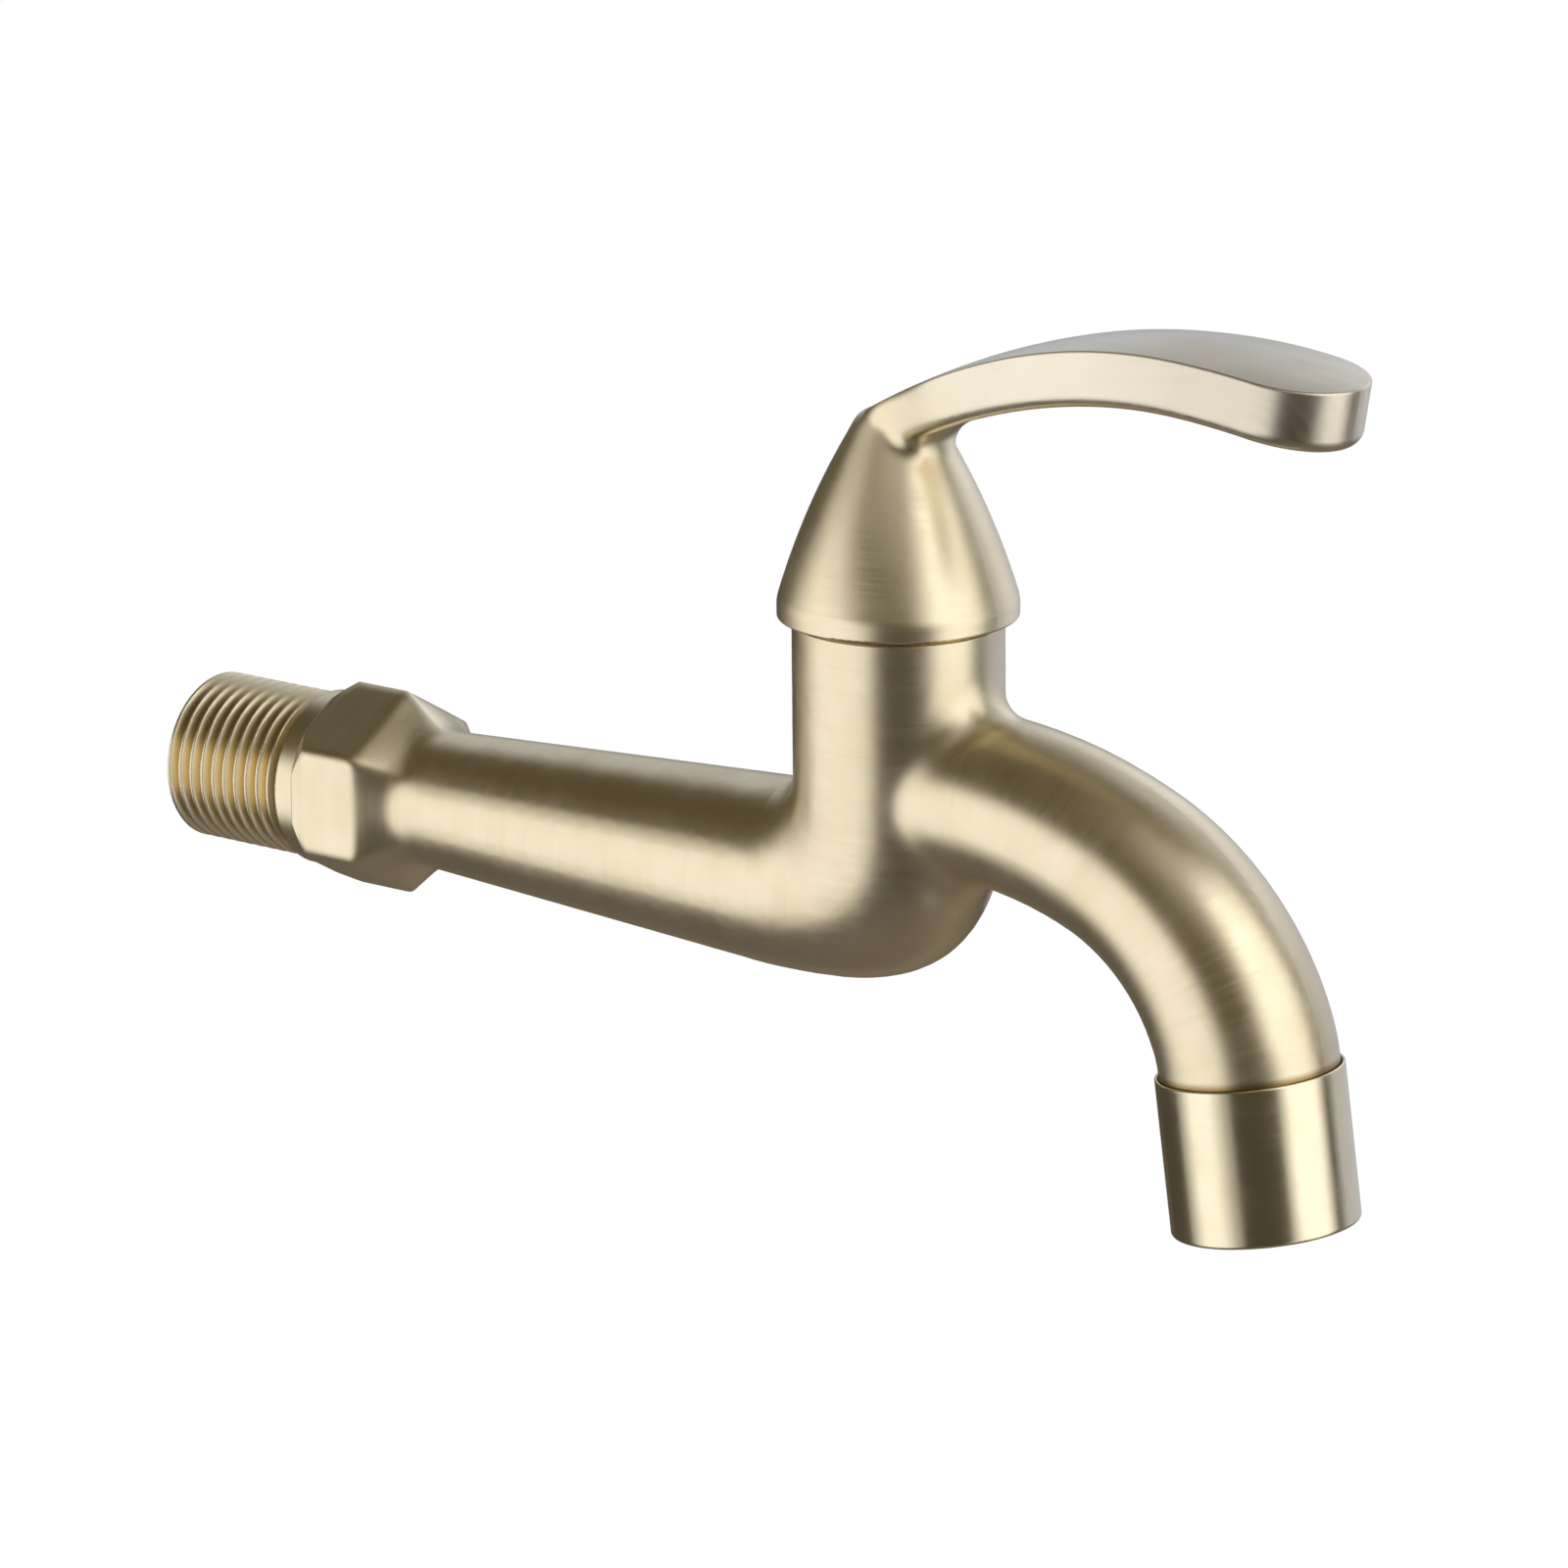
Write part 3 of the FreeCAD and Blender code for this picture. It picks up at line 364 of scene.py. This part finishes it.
def handle_brushing(s, place):
    """Lines run round the bell, and lengthways along the lever."""
    x, y, z = s.split(place)
    on_lever = s.ramp(past_bell(s, x, z), 99.5, 103.0)
    across = s.blend(on_lever, s.math("MULTIPLY_ADD", y, 0.12, z), s.math("MULTIPLY_ADD", z, 0.6, y))
    strength = s.ramp(s.noise(place, 0.09), 0.3, 0.7, 0.7, 1.1)
    return across, strength, 0.12, 12.0


def past_mouth(s, place):
    """How far a place is past the spout's mouth along its leaning axis, in mm."""
    return s.vector("DOT_PRODUCT", s.vector("SUBTRACT", place, MOUTH_POINT_MM), MOUTH_DOWN)


def collar_turning(s, place):
    """Fine turned rings round the aerator's collar."""
    return past_mouth(s, place), 0.5, 0.09, 30.0


def lever_painted_light(s, place, tone):
    """The lever is painted paler and cooler than the bell, a painted reflection of cooler light, and darker
    toward the tip, a painted shade.
    """
    x, _, z = s.split(place)
    # Painted reflection: the lever is tinted paler and cooler than the bell.
    tone = s.tint(s.ramp(past_bell(s, x, z), 100.0, 112.0), tone, LEVER_PAINTED_COOL_REFLECTION)
    # Painted shade: darker along the lever toward its tip.
    return s.tint(s.ramp(x, 112.0, 140.0), tone, LEVER_TIP_PAINTED_SHADE)


def lever_root(s, place):
    """The fold where the lever leaves the bell."""
    away = s.vector("DISTANCE", place, LEVER_ROOT_MM)
    return s.ramp(away, 12.0, 6.0), LEVER_CORNER


def thread_and_seam_painted_shade(s, place, tone):
    """Painted shade: deeper, browner gold between the thread's crests and just over the aerator's collar,
    which face other gold.
    """
    x, y, z = s.split(place)
    radial = s.vector("LENGTH", s.join(0.0, y, z))
    in_thread = s.math("MULTIPLY", s.ramp(radial, 10.35, 9.35), s.ramp(x, 0.2, -0.2))
    # Painted shade in the thread's roots.
    tone = s.tint(s.math("MULTIPLY", in_thread, 0.8), tone, THREAD_ROOT_PAINTED_SHADE)
    # Painted shadow on the spout's last mm over the collar's seam.
    at_seam = s.math("MULTIPLY", s.ramp(past_mouth(s, place), -1.1, -0.1), s.ramp(x, 118.0, 122.0))
    return s.tint(at_seam, tone, COLLAR_SEAM_PAINTED_SHADE)


def machined_metal(name, colour, roughness, line_width=0.10):
    """Bare turned metal with tool lines round Z, a dull film and brighter edges."""
    material, s, skin, place = new_finish(name)
    lines = s.group(BRUSHING, Across=s.split(place)[2], Along=place, Line_Width=line_width, Line_Length=24.0)
    skin_grain = s.group(GRAIN, Vector=place, Grain_Size=0.22, Wave_Size=3.0)
    edge = s.group(EDGES, Radius=TURNED_EDGE)
    film = scaled(colour, 0.72, 0.66, 0.58)
    pale = scaled(colour, 1.12, 1.14, 1.2)
    tone = s.tint(s.ramp(skin_grain["Wave"], 0.45, 0.75, 0.0, 0.7), (*colour, 1.0), film)
    tone = s.tint(s.math("MULTIPLY", lines["Streak"], 0.3), tone, film)
    s.feed(skin.inputs["Base Color"], s.tint(s.math("MULTIPLY", edge["Edge"], 0.7), tone, pale))
    s.feed(skin.inputs["Metallic"], 1.0)
    s.feed(skin.inputs["Roughness"], s.math("MULTIPLY_ADD", lines["Streak"], 0.14, roughness))
    height = s.math("MULTIPLY_ADD", skin_grain["Grain"], 0.0015, s.math("MULTIPLY", lines["Height"], 0.006))
    s.feed(skin.inputs["Normal"], s.bump(height, BUMP_DEPTH, edge["Rounded Normal"]))
    return material


def moulded(name, colour, roughness, speckle, depth, gloss_spread=0.08):
    """Moulded rubber, plastic or pressed ceramic: a fine skin with faint flow marks and rubbed edges."""
    material, s, skin, place = new_finish(name)
    skin_grain = s.group(GRAIN, Vector=place, Grain_Size=0.12, Wave_Size=2.5)
    marks = s.group(HANDLING, Vector=place)
    edge = s.group(EDGES, Radius=TURNED_EDGE)
    dark = scaled(colour, 0.8, 0.8, 0.78)
    pale = scaled(colour, 1.15, 1.15, 1.15, lift=0.02)
    tone = s.tint(s.ramp(skin_grain["Grain"], 0.35, 0.75, 0.0, speckle), (*colour, 1.0), dark)
    tone = s.tint(s.math("MULTIPLY", marks["Smear"], 0.2), tone, dark)
    s.feed(skin.inputs["Base Color"], s.tint(s.math("MULTIPLY", edge["Edge"], 0.5), tone, pale))
    s.feed(skin.inputs["Roughness"], s.math("MULTIPLY_ADD", skin_grain["Wave"], gloss_spread, roughness))
    height = s.math("MULTIPLY", skin_grain["Grain"], depth)
    height = s.math("MULTIPLY_ADD", skin_grain["Wave"], depth * 3, height)
    s.feed(skin.inputs["Normal"], s.bump(height, BUMP_DEPTH, edge["Rounded Normal"]))
    return material


def woven_wire(name, colour):
    """Fine steel wire: a weave of round wires over and under each other, drawn by its height."""
    material, s, skin, place = new_finish(name)
    x, y, _ = s.split(place)
    over, under = (s.math("SINE", s.math("MULTIPLY", way, math.pi / WIRE_STEP_MM)) for way in (x, y))
    weave = s.math("MAXIMUM", s.math("ABSOLUTE", over), s.math("ABSOLUTE", under))
    skin_grain = s.group(GRAIN, Vector=place, Grain_Size=0.1, Wave_Size=2.0)
    # Painted shade: dull is the darker tone painted into the gaps between the wires.
    dull = scaled(colour, 0.6, 0.6, 0.58)
    s.feed(skin.inputs["Base Color"], s.tint(s.ramp(weave, 0.95, 0.7, 0.0, 0.7), (*colour, 1.0), dull))
    s.feed(skin.inputs["Metallic"], 1.0)
    s.feed(skin.inputs["Roughness"], s.math("MULTIPLY_ADD", skin_grain["Grain"], 0.15, 0.28))
    s.feed(skin.inputs["Normal"], s.bump(weave, WIRE_DEPTH))
    return material


finishes = {
    "satin gold body": plated_gold("satin gold body", SATIN_GOLD, 0.28, body_brushing, 0.0040, 0.0028,
                                   paint_light_and_shade=thread_and_seam_painted_shade, soft_corner=rubbed_corners),
    "satin gold handle": plated_gold("satin gold handle", SATIN_GOLD, 0.28, handle_brushing, 0.0040, 0.0024,
                                     paint_light_and_shade=lever_painted_light, soft_corner=lever_root),
    "polished gold": plated_gold("polished gold", POLISHED_GOLD, 0.19, collar_turning, 0.0012, 0.0003),
    "raw brass": machined_metal("raw brass", (0.71, 0.55, 0.29), 0.28),
    "turned brass": machined_metal("turned brass", (0.73, 0.58, 0.32), 0.2),
    "stainless screw": machined_metal("stainless screw", (0.55, 0.55, 0.54), 0.25, 0.08),
    "bronze clip": machined_metal("bronze clip", (0.58, 0.42, 0.24), 0.3),
    "black rubber": moulded("black rubber", (0.03, 0.03, 0.03), 0.5, 0.6, 0.004),
    "seal rubber": moulded("seal rubber", (0.06, 0.06, 0.065), 0.45, 0.6, 0.004),
    "acetal washer": moulded("acetal washer", (0.85, 0.84, 0.8), 0.32, 0.15, 0.002),
    "white ceramic": moulded("white ceramic", (0.88, 0.87, 0.84), 0.1, 0.1, 0.0006, 0.04),
    "white plastic": moulded("white plastic", (0.82, 0.83, 0.83), 0.34, 0.15, 0.002),
    "grey plastic": moulded("grey plastic", (0.45, 0.47, 0.49), 0.36, 0.2, 0.002),
    "wire mesh": woven_wire("wire mesh", (0.6, 0.6, 0.59)),
}

worn_by = {
    "tap_body": "satin gold body",
    "handle": "satin gold handle",
    "aerator_shell": "polished gold",
    "valve_bonnet": "raw brass",
    "valve_spindle": "turned brass",
    "handle_grub_screw": "stainless screw",
    "spindle_retaining_clip": "bronze clip",
    "lower_spindle_o_ring": "black rubber",
    "upper_spindle_o_ring": "black rubber",
    "bonnet_o_ring": "black rubber",
    "seat_seal": "seal rubber",
    "aerator_gasket": "seal rubber",
    "spindle_thrust_washer": "acetal washer",
    "lower_ceramic_disc": "white ceramic",
    "upper_ceramic_disc": "white ceramic",
    "aerator_housing": "white plastic",
    "aerator_strainer": "grey plastic",
    "aerator_flow_disc": "grey plastic",
    "aerator_inner_screen": "wire mesh",
    "aerator_outer_screen": "wire mesh",
    "aerator_outlet_grid": "white plastic",
}
for node_name, finish_name in worn_by.items():
    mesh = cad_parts[node_name].data
    mesh.materials.clear()
    mesh.materials.append(finishes[finish_name])


# Studio

def heading(azimuth, elevation):
    """A direction seen from the tap: azimuth 0 is toward the front, 90 toward the spout's end."""
    a = math.radians(azimuth)
    e = math.radians(elevation)
    return Vector((math.sin(a) * math.cos(e), -math.cos(a) * math.cos(e), math.sin(e)))


TAP_MIDDLE = Vector((0.065, 0.0, 0.012))
PANEL_DISTANCE = 1.1
FLOOR_Z = -1.2
SOFTBOX_WHITE = (1.0, 1.01, 1.05)
WHITE = (1.0, 1.0, 1.0, 1.0)


def soft_panel(name, place, layers, glow, colour=SOFTBOX_WHITE, shape="ELLIPSE", only_on=None, not_on=None):
    """A softbox that faces the tap, bright in its middle: panels of falling size, one behind another.

    place is the azimuth and elevation of its middle, and layers are half angles (wide, high), in degrees.
    only_on names the one node that it lights. not_on names the one node that it doesn't light.
    """
    away = heading(*place)
    for layer, (wide, high) in enumerate(layers):
        light = bpy.data.lights.new(name, "AREA")
        light.shape = shape
        light.size = 2 * PANEL_DISTANCE * math.tan(math.radians(wide))
        light.size_y = 2 * PANEL_DISTANCE * math.tan(math.radians(high))
        area = light.size * light.size_y * (math.pi / 4 if shape == "ELLIPSE" else 1.0)
        light.energy = glow / len(layers) * math.pi * area
        light.color = colour
        panel = bpy.data.objects.new(name, light)
        bpy.context.scene.collection.objects.link(panel)
        panel.location = TAP_MIDDLE + away * (PANEL_DISTANCE + 0.01 * layer)
        panel.rotation_mode = "QUATERNION"
        panel.rotation_quaternion = away.to_track_quat("Z", "Y")
        panel.visible_camera = False
        if only_on or not_on:
            named = bpy.data.collections.new(name + " nodes")
            named.objects.link(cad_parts[only_on or not_on])
            named.collection_objects[0].light_linking.link_state = "INCLUDE" if only_on else "EXCLUDE"
            panel.light_linking.receiver_collection = named


soft_panel("left softbox", (-38, -9), ((52, 36), (46, 31)), 0.54, not_on="aerator_shell")
soft_panel("left softbox middle", (-31, -8), ((44, 32), (37, 26)), 0.60, not_on="aerator_shell")
soft_panel("collar softbox", (-27, -11), ((38, 34), (28, 29), (19, 24)), 1.20, only_on="aerator_shell")
soft_panel("handle top fill", (-15, 49), ((64, 18), (54, 13)), 0.27, only_on="handle")
soft_panel("handle side fill", (-48, 28), ((28, 22), (20, 16)), 0.26, only_on="handle")
soft_panel("handle back fill", (167, 6), ((17, 30), (12, 24)), 0.28, (0.95, 0.98, 1.08),
           shape="RECTANGLE", only_on="handle")
soft_panel("lever top panel", (-148, 2), ((20, 18), (14, 12)), 0.15, (0.70, 0.98, 1.50),
           shape="RECTANGLE", only_on="handle")
soft_panel("right softbox", (97, 10), ((31, 52), (26, 46), (20, 40)), 1.32, shape="RECTANGLE")
soft_panel("right softbox wing", (68, 28), ((13, 28), (8, 22)), 0.66, shape="RECTANGLE")
soft_panel("backdrop", (171, 4), ((35, 32), (28, 26)), 0.54, (0.90, 0.96, 1.16), shape="RECTANGLE")
soft_panel("far wall", (-140, 22), ((29, 25), (20, 17)), 0.38, (0.86, 0.98, 1.20))
soft_panel("floor bounce", (176, -52), ((60, 22), (42, 15)), 0.09, (1.12, 0.93, 0.62))


def glow_patch(s, toward, azimuth, elevation, half_wide, half_high, soft_wide, soft_high):
    """A soft edged window of light: 1 in its middle and 0 outside, with the angles in degrees."""
    front = heading(azimuth, 0)
    side = heading(azimuth + 90, 0)
    degrees = math.degrees(1)
    turn = s.math("ARCTAN2", s.vector("DOT_PRODUCT", toward, side), s.vector("DOT_PRODUCT", toward, front))
    turn = s.math("ABSOLUTE", s.math("MULTIPLY", turn, degrees))
    rise = s.math("ARCSINE", s.split(toward)[2])
    rise = s.math("ABSOLUTE", s.math("MULTIPLY_ADD", rise, degrees, -elevation))
    return s.math("MULTIPLY", s.ramp(turn, half_wide + soft_wide, half_wide - soft_wide),
                  s.ramp(rise, half_high + soft_high, half_high - soft_high))


def shown_to_camera(s, unseen, seen):
    """Mixes two shaders: seen meets the camera's own view, and unseen everything else."""
    pick = s.add("ShaderNodeMixShader")
    s.feed(pick.inputs[0], s.add("ShaderNodeLightPath").outputs["Is Camera Ray"])
    s.feed(pick.inputs[1], unseen.outputs[0])
    s.feed(pick.inputs[2], seen.outputs[0])
    return pick.outputs[0]


def studio_air():
    """The room round the tap: dim and warm, with the spill of the softboxes, and white to the camera."""
    world = bpy.data.worlds.new("studio")
    bpy.context.scene.world = world
    world.use_nodes = True
    world.node_tree.nodes.clear()
    s = Shader(world.node_tree)
    toward = s.add("ShaderNodeTexCoord").outputs["Generated"]
    patches = (
        # azimuth and elevation, half width and height, softness of both, colour
        ((60, 64), (55, 22), (30, 16), (0.35, 0.35, 0.35, 1.0)),
        ((172, 42), (29, 22), (16, 12), (0.34, 0.37, 0.43, 1.0)),
        ((-158, 34), (38, 26), (22, 18), (0.20, 0.20, 0.205, 1.0)),
    )
    room = (0.099, 0.079, 0.046, 1.0)
    for middle, half_size, softness, colour in patches:
        room = s.tint(glow_patch(s, toward, *middle, *half_size, *softness), room, colour, "ADD")
    room_light = s.add("ShaderNodeBackground")
    s.feed(room_light.inputs["Color"], room)
    white = s.add("ShaderNodeBackground")
    s.feed(white.inputs["Color"], WHITE)
    s.feed(s.add("ShaderNodeOutputWorld").inputs["Surface"], shown_to_camera(s, room_light, white))


studio_air()


def pale_floor():
    """A plain pale floor far below the tap, evenly lit where the camera sees it."""
    bpy.ops.object.select_all(action="DESELECT")
    bpy.ops.mesh.primitive_circle_add(vertices=96, radius=30.0, fill_type="NGON",
                                      location=(TAP_MIDDLE.x, 0.0, FLOOR_Z))
    floor = bpy.context.object
    floor.name = "floor"
    material = bpy.data.materials.new("pale floor")
    material.use_nodes = True
    material.node_tree.nodes.clear()
    s = Shader(material.node_tree)
    matt = s.add("ShaderNodeBsdfDiffuse")
    s.feed(matt.inputs["Color"], (0.30, 0.27, 0.24, 1.0))
    lit = s.add("ShaderNodeEmission")
    s.feed(lit.inputs["Color"], WHITE)
    s.feed(s.add("ShaderNodeOutputMaterial").inputs["Surface"], shown_to_camera(s, matt, lit))
    floor.data.materials.append(material)


pale_floor()


def set_camera():
    """The camera of the photograph: its place and its three directions in the tap's own frame."""
    camera = bpy.data.objects.new("camera", bpy.data.cameras.new("camera"))
    bpy.context.scene.collection.objects.link(camera)
    right = (0.79533, 0.60610, -0.00924)
    up = (-0.15818, 0.22223, 0.96208)
    back = (0.58517, -0.76371, 0.27262)
    place = (0.62083, -0.71705, 0.26666)
    camera.matrix_world = Matrix([(right[i], up[i], back[i], place[i]) for i in range(3)] + [(0, 0, 0, 1)])
    camera.data.lens = 180.0
    camera.data.sensor_width = 36.0
    camera.data.clip_start = 0.02
    camera.data.clip_end = 100.0
    bpy.context.scene.camera = camera


set_camera()
bpy.context.scene.view_settings.view_transform = "Standard"
